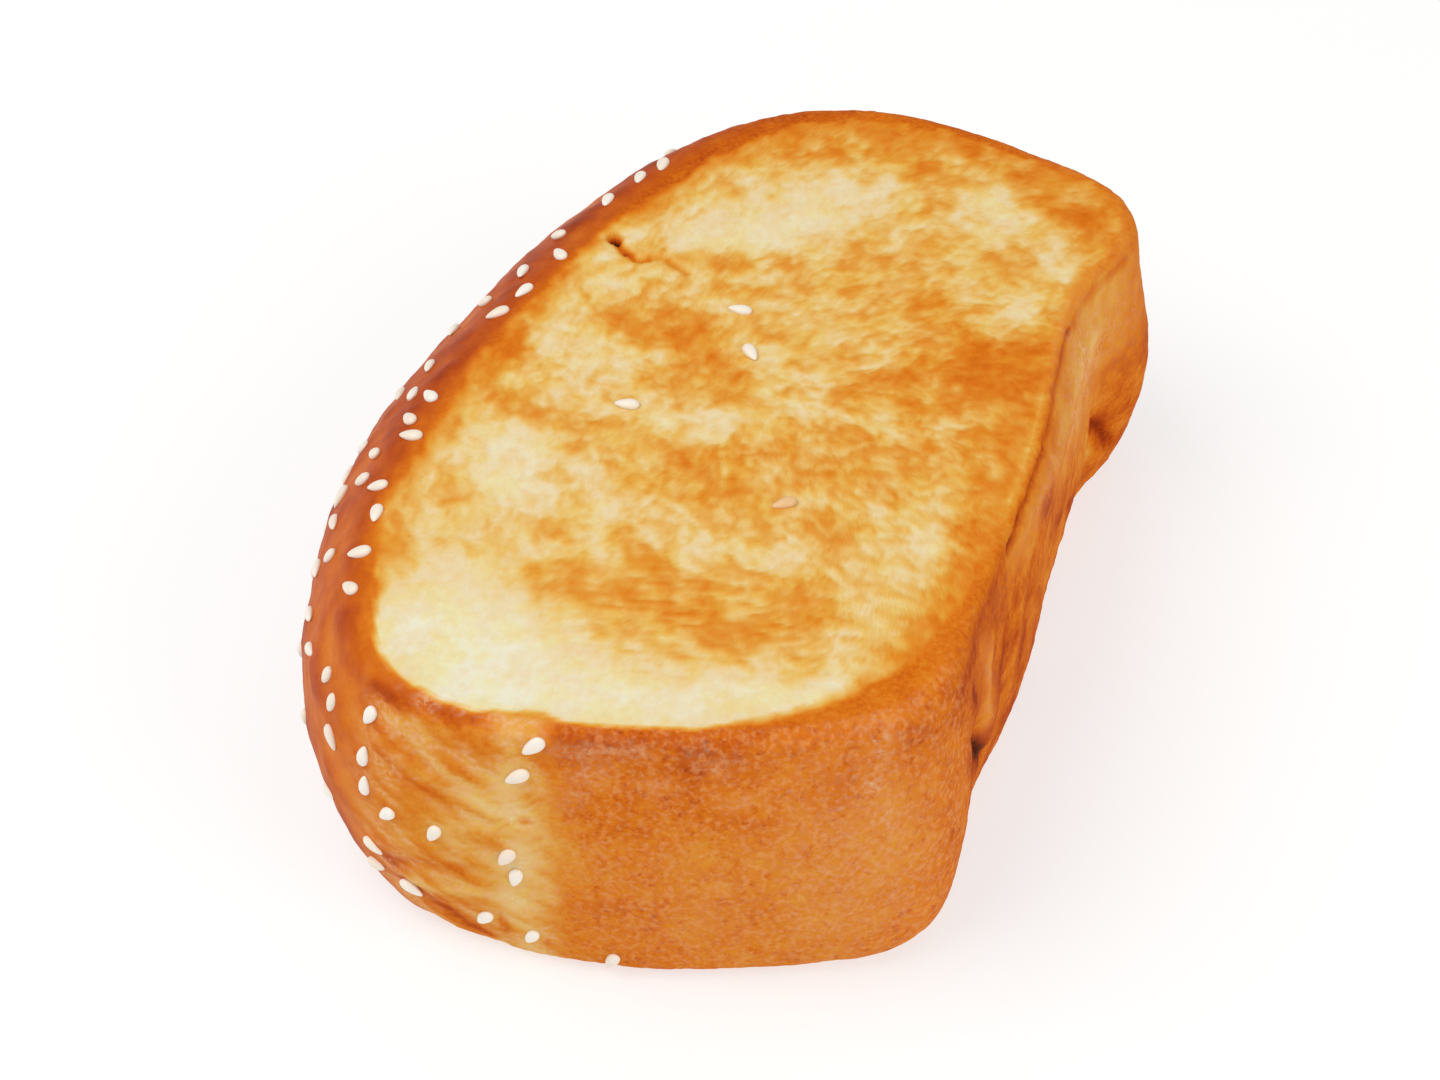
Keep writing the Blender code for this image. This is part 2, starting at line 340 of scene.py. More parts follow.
def patch_map(px, py, patches):
    """Sum of soft oval patches: x, y, half length, half width, turn in degrees, strength."""
    total = np.zeros(len(px))
    for cx, cy, half_long, half_wide, turn, amount in patches:
        turned = math.radians(turn)
        far_along = ((px - cx) * math.cos(turned) + (py - cy) * math.sin(turned)) / half_long
        far_across = ((py - cy) * math.cos(turned) - (px - cx) * math.sin(turned)) / half_wide
        total += amount * np.exp(-np.power(far_along ** 2 + far_across ** 2, 1.3) * 0.75)
    return total


# Where the toasted face stayed pale, where the hot plate browned it, where the crumb shows
# as streaks, and where it stayed calm. The edges of the patches wobble at two sizes.
pale_patches = [
    (-8, 28, 7, 5, 15, -0.9), (2, 36, 11, 6, 48, -1.0), (23, 41, 7, 3.5, -50, -0.8),
    (33, 34, 4, 3, 90, -0.6), (32, 23, 5, 2.5, 80, -0.7), (14.5, 26.5, 4, 2, -30, -0.4),
    (-19, 15, 5, 2.5, -57, -0.8), (-18, -1, 11, 6, -42, -0.5), (9.5, 3.5, 5, 2.2, 15, -0.5),
    (-1, -9.5, 8, 2.4, 25, -0.8), (13, -3, 8, 1.8, -5, -0.6), (-20, -23, 8, 6.5, -60, -1.1),
    (-9, -27, 9, 5, 10, -0.6), (30, -21, 7, 4, 75, -0.65), (10, -31, 13, 3.2, 10, -0.5),
    (26, -39, 6, 3, 70, -0.8), (-28, -13, 3, 2, 60, -0.4), (-15, -51, 12, 9, -55, -1.4),
    (8, -54, 25, 4, 17, -1.4), (28, -47, 7, 2.6, 30, -0.9),
    (-22.5, 24, 1, 0.9, 0, -0.7), (-20, 22.8, 1, 0.8, 0, -0.7), (-5, -50, 18, 7, 8, -0.9),
]
brown_patches = [
    (6, 51, 18, 5, 3, 0.8), (15, 44, 4, 2.5, -45, 0.9), (35, 43, 5, 4, 60, 1.0),
    (17, 23, 11, 3.5, -38, 0.7), (31, 12, 6, 5, -60, 1.6), (-8, 22, 6, 1.8, -8, 0.7),
    (2, 22, 6, 1.8, 0, 0.6), (-9, 5.5, 11, 4, -32, 1.1), (20, 3, 7, 4, 10, 0.7),
    (-1, -3, 6, 2.5, 10, 0.4), (17, -10, 9, 5, -10, 0.5), (4, -18, 9, 6, 0, 0.6),
    (20, -23, 3.5, 1.8, 10, 0.7), (-19, -13, 9, 2.2, -6, 0.9), (-13.5, -24, 2.3, 1.5, 0, 1.0),
    (-10, -30, 3, 2, 20, 0.7), (-24, -29, 3.6, 2.8, -50, 0.6), (-14.5, -28, 1.3, 1.3, 0, 0.8),
    (2, -33, 4, 1.7, -35, 0.8), (11, -40, 18, 7, 12, 0.95), (-5, -39, 6, 4, 0, 0.5),
    (-27, -38, 6, 2, -78, 0.5), (36, -2, 18, 4, 90, 0.8), (-28.6, -5, 7, 2.6, 80, 1.6),
    (36, -33, 12, 4, 87, 0.9), (28, 32, 7, 3.5, -30, 0.5), (24, 8, 7, 5, -30, 0.5),
    (26, -6, 7, 4, 60, 0.4), (30, 46, 8, 2.2, -35, 0.6),
]
streaked_patches = [(11, -41, 22, 10, 15, 1.1)]
calm_patches = [(-15, -51, 15, 11, -55, 1.0), (8, -54, 27, 5, 17, 1.0), (0, 34, 12, 6, 45, 0.5)]
broad = points / 7.0
ragged = points / 2.4
browned = flat_face | toasted
wobble_x = 2.0 * grain(browned, broad, 3.1) + 1.1 * grain(browned, ragged, 23.0)
wobble_y = 2.0 * grain(browned, broad, 9.7) + 1.1 * grain(browned, ragged, 29.0)
patches = np.where(
    underneath,
    1.1 * grain(underneath, points / 14.0, 21.0),
    patch_map(x + wobble_x, y + wobble_y, pale_patches + brown_patches))


def pores(chosen, scaled, shift):
    """The crumb's cell walls: up to 0.4 on the walls between cells, below 0 inside them."""
    values = np.zeros(len(points))
    for i in np.flatnonzero(chosen):
        a, b, c = scaled[i]
        near, next_near = noise.voronoi((a + shift, b - shift, c))[0][:2]
        values[i] = 0.4 - min(1.2, next_near - near)
    return values


# How the crumb lies: along the pan wall in front, and swinging round towards the back.
lie = np.radians(np.interp(y, [-46.0, 24.0], [14.0, -24.0]))
with_grain = x * np.cos(lie) + y * np.sin(lie)
across_grain = y * np.cos(lie) - x * np.sin(lie)
flat = np.column_stack([with_grain, across_grain, 0.2 * z])
warped = flat + np.column_stack([0.5 * wobble_x, 0.5 * wobble_y, 0.0 * z])
blotch = grain(browned, warped / np.array([4.0, 4.4, 6.0]), 1.7, 3)
mottle = grain(browned, warped / np.array([1.35, 1.6, 6.0]), 8.9, 3)
cell_walls = pores(browned, warped / np.array([2.1, 2.3, 6.0]), 4.4)
streak = grain(browned, flat / np.array([5.0, 0.8, 6.0]), 5.3, 2)
streaky = 0.06 + 0.94 * np.clip(patch_map(x, y, streaked_patches), 0.0, 1.0)
calm = np.clip(patch_map(x, y, calm_patches), 0.0, 1.0)

# How much heat each spot of the face took: the patches first, then blotches, streaks,
# mottling and the crumb's cell walls, which all show less where the crumb stayed calm.
heat = (
    0.95 * patches
    + 0.75 * (1.0 - 0.5 * calm) * blotch
    + 0.70 * (1.0 - 0.5 * calm) * streaky * streak
    + 0.52 * (1.0 - 0.4 * calm) * (1.0 - 0.5 * streaky) * mottle
    + 0.75 * (1.0 - 0.5 * calm) * (1.0 - 0.7 * streaky) * cell_walls)

# How much of the toasted face is how brown, from its palest spots to its darkest.
share_of_face = [0.0, 0.01, 0.05, 0.10, 0.30, 0.50, 0.70, 0.90, 0.95, 0.99, 1.0]
brown_there = [0.0, 0.03, 0.07, 0.10, 0.165, 0.23, 0.30, 0.395, 0.44, 0.52, 0.58]
browned_face = np.zeros(len(points))
for sheet, measured in ((toasted, on_top), (underneath, underneath)):
    ordered = np.sort(heat[measured])
    rank = np.searchsorted(ordered, heat[sheet]) / len(ordered)
    browned_face[sheet] = np.interp(rank, share_of_face, brown_there)

# The crust's rim round the face: distance round the slice, how far the crust comes over
# the face and how wide the toasted band inside it is, both in mm, how brown the rim, and
# how brown the band. The rim fades softly round the crown, from its start to its end.
crown_start = (136.0, 150.0)
crown_end = (238.0, 252.0)
rim_bands = [
    (0.0, 4.3, 3.0, 0.56, 0.42), (7.5, 2.5, 3.5, 0.57, 0.42), (13.0, 1.1, 5.0, 0.57, 0.42),
    (20.0, 0.6, 7.5, 0.54, 0.46), (26.0, 0.2, 8.5, 0.50, 0.46), (40.0, -0.1, 9.0, 0.46, 0.44),
    (55.0, -0.1, 7.0, 0.45, 0.44), (66.0, 0.0, 5.0, 0.44, 0.40), (78.0, 0.1, 4.0, 0.47, 0.42),
    (88.0, 0.3, 6.0, 0.50, 0.46), (97.0, 0.5, 7.0, 0.55, 0.47), (108.0, 1.1, 6.5, 0.61, 0.46),
    (118.0, 1.3, 7.0, 0.61, 0.46), (130.0, 1.1, 8.5, 0.61, 0.46), (140.0, 1.8, 8.5, 0.65, 0.46),
    (147.0, 2.7, 8.5, 0.66, 0.46), (156.0, 3.3, 6.5, 0.67, 0.47), (163.0, 3.2, 5.0, 0.67, 0.49),
    (169.0, 1.8, 5.5, 0.67, 0.50), (177.0, 0.4, 3.2, 0.67, 0.50), (184.0, 0.4, 4.0, 0.67, 0.49),
    (196.0, 0.3, 5.2, 0.67, 0.49), (208.0, 0.1, 4.8, 0.66, 0.48), (215.0, 0.1, 3.4, 0.64, 0.48),
    (221.0, 0.4, 6.5, 0.63, 0.46), (226.0, 0.3, 4.6, 0.64, 0.47), (231.0, -0.5, 4.8, 0.63, 0.46),
    (235.0, -1.1, 1.0, 0.60, 0.38), (240.0, -1.0, 1.4, 0.60, 0.38), (244.5, -0.4, 5.2, 0.62, 0.40),
    (249.5, 0.1, 2.4, 0.59, 0.38), (254.5, -0.8, 0.6, 0.57, 0.34), (260.0, -0.8, 0.7, 0.59, 0.36),
    (264.0, -0.4, 0.6, 0.62, 0.36), (269.0, -0.5, 0.6, 0.62, 0.36), (273.6, -0.1, 0.6, 0.58, 0.34),
    (276.0, 0.6, 0.8, 0.42, 0.33), (279.6, 1.3, 0.8, 0.38, 0.30), (282.3, 0.2, 0.5, 0.55, 0.34),
    (287.0, -0.3, 0.5, 0.64, 0.36), (297.0, 0.0, 0.6, 0.62, 0.38), (304.0, 1.1, 1.2, 0.58, 0.40),
    (310.0, 2.5, 1.8, 0.56, 0.42), (317.0, 4.2, 3.0, 0.56, 0.42)]
rim_line = by_place(rim_bands, 1)
rim_band = by_place(rim_bands, 2)
rim_brown = by_place(rim_bands, 3)
band_brown = by_place(rim_bands, 4)
rim_reach = 18.0
near_rim = (flat_face | toasted) & (inward < rim_reach)
raggedness = grain(near_rim, points / 3.2, 14.0, 3)
from_edge = inward + raggedness * (0.30 + 0.17 * rim_band)
brown_band = 1.0 - smooth(-0.1, 1.0, (from_edge - rim_line) / rim_band)
soft_rim = smooth(*crown_start, place_round) * (1.0 - smooth(*crown_end, place_round))
brown_line = np.where(
    underneath,
    1.0 - smooth(0.2, 1.0, inward + raggedness),
    1.0 - smooth(-0.3, 0.35, (from_edge - rim_line) / (1.0 + 1.9 * soft_rim)))
band_target = band_brown + 0.12 * blotch + 0.09 * mottle + 0.10 * cell_walls
face_with_band = browned_face + (band_target - browned_face) * brown_band * 0.85
face_with_rim = face_with_band + (rim_brown + 0.07 * raggedness - face_with_band) * brown_line

# How brown the wall baked: distance round the slice, then low down, halfway and high up.
# The crown is darkest, and the shred, where the crown pulled off the pan wall, is palest.
# Over most of the slice the wall is darker low down than halfway: painted shade near the table.
wall_bake = [
    (0.0, 0.56, 0.56, 0.58), (8.0, 0.62, 0.62, 0.62), (18.0, 0.64, 0.63, 0.62),
    (28.0, 0.62, 0.60, 0.56), (40.0, 0.62, 0.58, 0.52), (52.0, 0.61, 0.57, 0.49),
    (62.0, 0.59, 0.50, 0.42), (70.0, 0.58, 0.47, 0.40), (78.0, 0.60, 0.52, 0.42),
    (85.0, 0.65, 0.59, 0.48), (92.0, 0.64, 0.58, 0.49), (105.0, 0.59, 0.57, 0.57),
    (125.0, 0.60, 0.60, 0.60), (143.0, 0.66, 0.66, 0.68), (160.0, 0.72, 0.70, 0.69),
    (192.0, 0.75, 0.71, 0.69), (216.0, 0.75, 0.72, 0.68), (238.0, 0.75, 0.71, 0.65),
    (252.0, 0.73, 0.66, 0.61), (260.0, 0.65, 0.56, 0.56), (267.0, 0.48, 0.42, 0.48),
    (273.0, 0.43, 0.37, 0.42), (277.5, 0.36, 0.31, 0.38), (280.4, 0.40, 0.36, 0.43),
    (282.6, 0.49, 0.48, 0.55), (285.0, 0.53, 0.52, 0.57), (291.0, 0.52, 0.52, 0.56),
    (300.0, 0.51, 0.51, 0.56), (310.0, 0.51, 0.49, 0.57), (316.0, 0.52, 0.48, 0.55)]
rise = z / thickness
low_bake_and_shade, half_bake, high_bake = (by_place(wall_bake, k) for k in (1, 2, 3))
browned_wall = half_bake + (high_bake - half_bake) * smooth(0.60, 0.92, rise)
# Darker low down: painted shade near the table.
browned_wall += (low_bake_and_shade - half_bake) * (1.0 - smooth(0.08, 0.5, rise))
wander = 0.45 * grain(on_wall, points / 2.2, 63.0, 2)
crown = smooth(144.0, 158.0, place_round) * (1.0 - smooth(261.0, 269.0, place_round))
shred = smooth(258.0, 265.0, place_round) * (1.0 - smooth(279.8, 282.2, place_round + 2.0 * wander))
pan = (1.0 - crown) * (1.0 - shred)
wall_blotch = grain(on_wall, points / 6.5, 30.0, 3)
wall_spots = grain(on_wall, points / 2.8, 36.0, 3)
wall_fine = grain(on_wall, points / 1.3, 41.0, 2)
pull_along = apart_round(place_round, 268.0)
pulled_at = np.column_stack([pull_along / 4.0, (z + 0.5 * pull_along) / 1.5, 0.0 * z])
pulled = grain(on_wall & (shred > 0.01), pulled_at, 50.0, 4)
sole = smooth(10.0, 24.0, place_round) * (1.0 - smooth(80.0, 92.0, place_round))
browned_wall += 0.085 * wall_blotch * (0.9 + 0.5 * sole + 0.3 * crown) + 0.05 * wall_fine * pan
browned_wall += wall_spots * (0.055 * crown + 0.06 * sole + 0.03 * pan) + 0.13 * pulled * shred
browned_wall += 0.07 * smooth(34.0, 38.5, z) * (1.0 - smooth(38.5, 39.8, z)) * crown


def along_line(path, width):
    """1 on a line drawn over the wall through (distance round, height), 0 off it."""
    nearest = np.zeros(len(points))
    for (place, level), (next_place, next_level) in zip(path, path[1:]):
        run = next_place - place
        climb = next_level - level
        along_here = apart_round(place_round, place) + wander
        up_here = z - level + 0.6 * wander
        part = (along_here * run + up_here * climb) / (run * run + climb * climb)
        part = np.clip(part, 0.0, 1.0)
        gap = np.hypot(along_here - part * run, up_here - part * climb)
        nearest = np.maximum(nearest, np.exp(-(gap / width) ** 2))
    return nearest * on_wall


# The sole's marks: the orange groove and pale ridge under its rim, the dark crease under
# the back foot, the dark torn fold beside the front foot and the pale flap over it. Then
# the pan wall's few darker stains and the shred's pale stretched band, folds and flaps.
# The stains are the crust's own colour. The dark of the groove, crease, torn fold and sunken
# folds is painted shade, and the pale of the raised ridge, lips and flaps is partly painted
# highlight. Each is a line, its width in mm, how much darker it is painted, and how far it
# stands out in mm.
wall_marks = [
    # The groove's darkness is painted shade in it.
    ([(26.5, 38.2), (31, 39.2), (38, 39.3), (46, 39.4), (57, 39.3), (66, 39.0)],
     0.55, 0.30, -0.4),
    ([(66, 39.0), (74, 38.6), (84, 38.4)], 0.6, 0.16, -0.2),
    ([(26.5, 38.6), (27.2, 38.0)], 1.0, 0.10, 0.0),
    ([(30, 37.1), (34.4, 37.4), (38.7, 36.8), (43.6, 35.7), (50, 35), (60, 34.6), (70, 33.6),
      (76, 32.6)], 1.4, -0.10, 0.35),
    ([(39, 34.2), (46, 27.5), (45, 23)], 2.2, 0.11, 0.0),
    ([(26.8, 31.6), (27.4, 30.4)], 1.1, 0.12, -0.1),
    ([(50, 21), (60, 16), (68, 12)], 2.4, 0.13, 0.0),
    # Dark crease under the back foot: painted shade in it.
    ([(73.4, 20), (75, 17.6), (78, 14.8), (80.4, 12.4), (82, 9.5)], 1.0, 0.24, -0.7),
    ([(77, 10.5), (79.5, 8.6), (81, 7)], 1.0, -0.11, 0.3),
    ([(25, 38.3), (18.5, 37.6), (12, 37.6), (8, 36.8), (5, 36.6)], 1.5, 0.10, 0.0),
    ([(17.6, 33), (16.2, 31), (15, 28), (14.5, 25.5), (15, 22)], 1.1, -0.13, 0.30),
    ([(24, 30), (21, 25), (22, 19)], 1.3, 0.11, -0.15),
    ([(34, 30), (31, 24), (30, 16)], 1.4, 0.10, -0.15),
    ([(28.5, 27), (26.5, 21), (26, 15)], 1.3, -0.09, 0.15),
    ([(9.0, 33), (9.3, 31.4)], 1.0, 0.16, -0.2),
    # Dark torn fold: painted shadow under the flap.
    ([(8.4, 27), (9.6, 24), (12, 20), (15.5, 15), (17.5, 12)], 1.2, 0.30, -0.8),
    ([(5.6, 26), (6.4, 23)], 1.0, 0.12, 0.0),
    ([(282, 37.6), (291, 37.2), (301, 37.6)], 2.4, 0.05, 0.0),
    ([(295, 36.2), (297, 35.6)], 1.2, 0.04, 0.0),
    ([(301, 36), (302.6, 34)], 1.2, 0.05, 0.0),
    ([(262, 38.6), (268, 39.2), (273, 39.4), (275.4, 39.5)], 1.0, 0.12, 0.0),
    ([(281.8, 39.4), (286, 39.2), (291, 38.9), (298, 38.6)], 0.8, 0.09, 0.0),
    ([(271.5, 34.6), (274.6, 34.8)], 2.3, 0.09, 0.0),
    ([(276.6, 39), (276.4, 34), (278, 28), (277.6, 21), (277, 14), (277.5, 7), (278, 2)],
     2.1, -0.10, 0.1),
    # Shred folds: sunken ones painted darker as shade, raised ones paler as highlight.
    ([(264.5, 36.6), (268.5, 33.6), (271, 32)], 0.9, -0.09, 0.15),
    ([(263.5, 33), (267, 31), (272.6, 29.4), (274.8, 27.6)], 1.0, -0.09, 0.15),
    ([(266, 34.6), (270, 30.6), (272, 29.6)], 0.6, 0.08, -0.12),
    ([(265, 29.6), (268.9, 28.6), (271, 26)], 0.8, 0.07, -0.10),
    ([(269.6, 23), (273.7, 24.2)], 1.3, -0.07, 0.1),
    ([(264, 13.4), (267.1, 15.2), (271.3, 16.8)], 1.1, 0.14, -0.25),
    ([(266, 11), (269, 11.8), (272.4, 13)], 1.0, -0.15, 0.30),
    ([(264.6, 9.4), (267.3, 8.4), (270.1, 5.8), (272.4, 3.6)], 1.1, 0.20, -0.3),
    ([(272.4, 7.8), (273.4, 7.8)], 0.8, -0.12, 0.1),
    ([(274.8, 9), (275.2, 6)], 0.6, 0.16, -0.2),
    ([(278.0, 26.8), (278.5, 26.6)], 0.5, 0.42, 0.0),
    ([(279.5, 5.6), (279.7, 4.8)], 0.6, 0.14, 0.0)]
marks_and_fold_shading = np.zeros(len(points))
marks_out = np.zeros(len(points))
for path, width, darkened_by, stands in wall_marks:
    on_line = along_line(path, width)
    marks_and_fold_shading += darkened_by * on_line
    marks_out += stands * on_line

# Pinkish pale patches on the wall: scuffs where it stuck to the pan, and painted highlight
# on its wrinkles and ridges. Distance round, height, reach along, reach up, amount. The
# shred is stretched pale, most of all at its edge.
shred_edge_place = 277.4
shred_edge_reach = 2.8
scuffs_and_highlights = [
    (284.3, 37.6, 3.0, 1.3, 0.8), (289.2, 38.2, 3.0, 1.1, 0.8), (285.6, 34.6, 2.2, 1.5, 0.7),
    (299.4, 36.6, 1.8, 1.3, 0.7), (297.2, 38.7, 1.2, 0.9, 0.7), (315.3, 37.6, 1.5, 2.8, 0.8),
    (314.2, 32.6, 1.4, 3.0, 0.8), (316.2, 27.6, 2.2, 3.2, 0.7), (292.2, 33.4, 2.4, 1.0, 0.6),
    (283.4, 31.0, 1.6, 1.6, 0.6), (301.5, 31.6, 2.0, 0.8, 0.6), (313.0, 20.0, 9.0, 20.0, 0.45),
    (297.0, 14.0, 12.0, 10.0, 0.2), (45.0, 35.6, 17.0, 2.0, 0.6), (66.0, 32.0, 13.0, 6.0, 1.2),
    (80.0, 32.0, 16.0, 7.0, 0.4), (15.5, 27.0, 1.6, 6.0, 0.6), (104.0, 20.0, 9.0, 20.0, 0.3)]
scuffed_and_highlit = np.zeros(len(points))
for place, level, reach, reach_up, amount in scuffs_and_highlights:
    along_here = (apart_round(place_round, place) + 2.0 * wander) / reach
    up_here = (z - level + 2.0 * wander) / reach_up
    scuffed_and_highlit = np.maximum(scuffed_and_highlit, amount * np.exp(-(along_here ** 2 + up_here ** 2)))
scuffed_and_highlit *= on_wall * np.clip(0.85 + 0.8 * wall_fine, 0.0, 1.3)
shred_edge = np.exp(-(apart_round(place_round, shred_edge_place) / shred_edge_reach) ** 2)
stretched = 0.32 + 0.60 * shred_edge - 1.5 * pulled - 2.2 * marks_and_fold_shading
scuffed_and_highlit = np.maximum(scuffed_and_highlit, 0.9 * shred * on_wall * np.clip(stretched, 0.0, 1.0))

# The face's browning takes over from the wall's at the rim, and the rim's lip along the
# sole is painted a little paler: a painted highlight on the lip.
rim_top = smooth(-1.6, -0.9, inward - np.minimum(rim_line, 0.0)) * smooth(37.0, 38.4, z)
browning = browned_wall + (face_with_rim - browned_wall) * rim_top + marks_and_fold_shading * (1.0 - 0.3 * rim_top)
browning = np.where(on_wall, browning, face_with_rim)
lip_highlight = np.exp(-((inward - 0.3) / 0.6) ** 2) * smooth(27.0, 32.0, place_round)
lip_highlight *= (on_top | on_wall) * (1.0 - smooth(46.0, 56.0, place_round))
browning -= 0.12 * lip_highlight

# Relief, in mm. Pale crumb lies lower than the browned crumb that met the hot plate. The
# pan wall is pebbly, the crown has broad soft wrinkles, and the shred has pulled strands.
away = smooth(0.2, 3.0, inward)
crumb_lift = 0.6 * np.clip(browned_face - 0.30, -0.3, 0.12)
face_lift = away * (crumb_lift + 0.12 * streaky * streak + 0.08 * mottle)
face_lift = np.where(underneath, 0.6 * np.minimum(face_lift, 0.0), face_lift)
wall_lift = (
    pan * (0.16 * wall_blotch + 0.14 * wall_fine)
    + crown * (0.30 * wall_blotch + 0.03 * wall_fine)
    + shred * (0.12 * wall_blotch + 0.20 * pulled)
    + marks_out)
edge_fade = 0.3 + 0.7 * smooth(0.0, 2.0, z) * smooth(0.0, 1.0, thickness - z)
lift = np.where(on_wall, wall_lift * edge_fade, face_lift)

# The hole torn near the far side of the crown, and the crack that runs from it: x, y,
# and how open the crack is from there on.
hole_x, hole_y = -21.7, 22.0
hole_depth = 1.5
crack_depth = 0.6
crack_width = 0.55
crack_line = [
    (-21.5, 21.8, 1.0), (-20.4, 20.5, 1.0), (-19.2, 19.3, 0.75), (-17.8, 18.8, 0.75),
    (-15.9, 19.1, 0.45), (-14.6, 19.7, 0.45), (-12.9, 19.1, 0.45), (-10.5, 17.7, 0.45)]
hole = np.exp(-(((x - hole_x) / 0.95) ** 2 + ((y - hole_y) / 0.85) ** 2) ** 1.6)
crack = np.zeros(len(points))
for (x0, y0, open_here), (x1, y1, _) in zip(crack_line, crack_line[1:]):
    part = ((x - x0) * (x1 - x0) + (y - y0) * (y1 - y0)) / ((x1 - x0) ** 2 + (y1 - y0) ** 2)
    part = np.clip(part, 0.0, 1.0)
    gap = np.hypot(x - x0 - part * (x1 - x0), y - y0 - part * (y1 - y0) + 0.4 * raggedness)
    crack = np.maximum(crack, open_here * np.exp(-(gap / crack_width) ** 2))
lift -= np.where(on_top, hole_depth * hole + crack_depth * crack, 0.0)
# The hole is painted nearly black and the crack darker: painted shade in them.
browning = np.where(on_top, browning + (0.92 - browning) * hole + 0.52 * crack, browning)

moved = points + normals * lift[:, None]
moved[:, 2] = np.maximum(moved[:, 2], 0.0)
slice_mesh.vertices.foreach_set("co", (moved * mm).ravel())
slice_mesh.update()

# The maps that the material reads, one value for each point. The pan wall in front is
# the most porous.
front_wall = smooth(278.0, 287.0, place_round) + (1.0 - smooth(2.0, 9.0, place_round))
front_wall = np.clip(front_wall, 0.0, 1.0)
porous = on_wall * (0.20 * pan * (1.0 - sole) + 0.80 * front_wall * (1.0 - shred))
for name, values in (
        ("browning", browning),
        ("crust", np.where(on_wall, 1.0 - rim_top * (1.0 - brown_line), brown_line)),
        ("eggwash", np.where(on_wall, np.clip(crown + 0.2 * shred, 0.0, 1.0), 0.0)),
        ("porous", porous),
        ("scuffed_and_highlit", scuffed_and_highlit)):
    attribute = slice_mesh.attributes.new(name, "FLOAT", "POINT")
    attribute.data.foreach_set("value", values.astype(np.float32))
slice_mesh.shade_smooth()

# The bread: matt toasted crumb, and crust with a faint gloss where the egg wash was. Its
# colour follows the browning map, with fine crumb, pits darkened as painted shade in the
# pores, pale specks painted on as highlight glints, and scuffs partly painted highlight.
brioche = bpy.data.materials.new("toasted_brioche")
brioche.use_nodes = True
nodes = brioche.node_tree.nodes
links = brioche.node_tree.links
shader = nodes["Principled BSDF"]


def read_map(name):
    """Reads one of the piece's own maps."""
    node = nodes.new("ShaderNodeAttribute")
    node.attribute_name = name
    return node.outputs["Fac"]


def reckon(operation, first, second):
    """Adds, subtracts or multiplies two numbers or sockets."""
    node = nodes.new("ShaderNodeMath")
    node.operation = operation
    for socket, value in zip(node.inputs, (first, second)):
        if isinstance(value, (int, float)):
            socket.default_value = value
        else:
            links.new(value, socket)
    return node.outputs["Value"]


def speckle(scale, detail, stretch, turn):
    """Fine noise of so many spots a metre, stretched and turned."""
    where = nodes.new("ShaderNodeTexCoord")
    mapping = nodes.new("ShaderNodeMapping")
    mapping.inputs["Rotation"].default_value = (0.0, 0.0, turn)
    mapping.inputs["Scale"].default_value = stretch
    links.new(where.outputs["Object"], mapping.inputs["Vector"])
    node = nodes.new("ShaderNodeTexNoise")
    node.inputs["Scale"].default_value = scale
    node.inputs["Detail"].default_value = detail
    node.inputs["Roughness"].default_value = 0.6
    links.new(mapping.outputs["Vector"], node.inputs["Vector"])
    return node.outputs["Fac"]


def above(value, start, width):
    """0 below start, rising to 1 over the width."""
    node = nodes.new("ShaderNodeMapRange")
    node.interpolation_type = "SMOOTHSTEP"
    node.inputs["From Min"].default_value = start
    node.inputs["From Max"].default_value = start + width
    links.new(value, node.inputs["Value"])
    return node.outputs["Result"]


def blend(how_far, first, second):
    """A number between two numbers or sockets."""
    node = nodes.new("ShaderNodeMix")
    node.data_type = "FLOAT"
    links.new(how_far, node.inputs[0])
    for socket, value in ((node.inputs[2], first), (node.inputs[3], second)):
        if isinstance(value, (int, float)):
            socket.default_value = value
        else:
            links.new(value, socket)
    return node.outputs[0]


unstretched = (1.0, 1.0, 1.0)
crumb_grain = speckle(800.0, 4.0, (1.15, 0.9, 1.0), math.radians(-5.0))
crust_pebble = speckle(1500.0, 3.0, unstretched, 0.0)
glint_noise = speckle(1250.0, 1.5, unstretched, 0.6)
pit_noise = speckle(850.0, 2.0, unstretched, 1.3)
egg_yellow = speckle(230.0, 3.0, unstretched, 2.1)
crust_map = read_map("crust")
eggwash_map = read_map("eggwash")
porous_map = read_map("porous")
fine_crumb = reckon("MULTIPLY", reckon("SUBTRACT", crumb_grain, 0.5), 0.14)
calmed = reckon("SUBTRACT", 1.0, reckon("MULTIPLY", eggwash_map, 0.65))
fine_crust = reckon("MULTIPLY", reckon("SUBTRACT", crust_pebble, 0.5), 0.34)
fine_crust = reckon("MULTIPLY", fine_crust, calmed)
# Darker pits in the porous crust are painted shade in its pores.
shaded_pits = reckon("MULTIPLY", above(pit_noise, 0.52, 0.26), porous_map)
brownness = reckon("ADD", read_map("browning"), blend(crust_map, fine_crumb, fine_crust))
brownness = reckon("ADD", brownness, reckon("MULTIPLY", shaded_pits, 0.13))

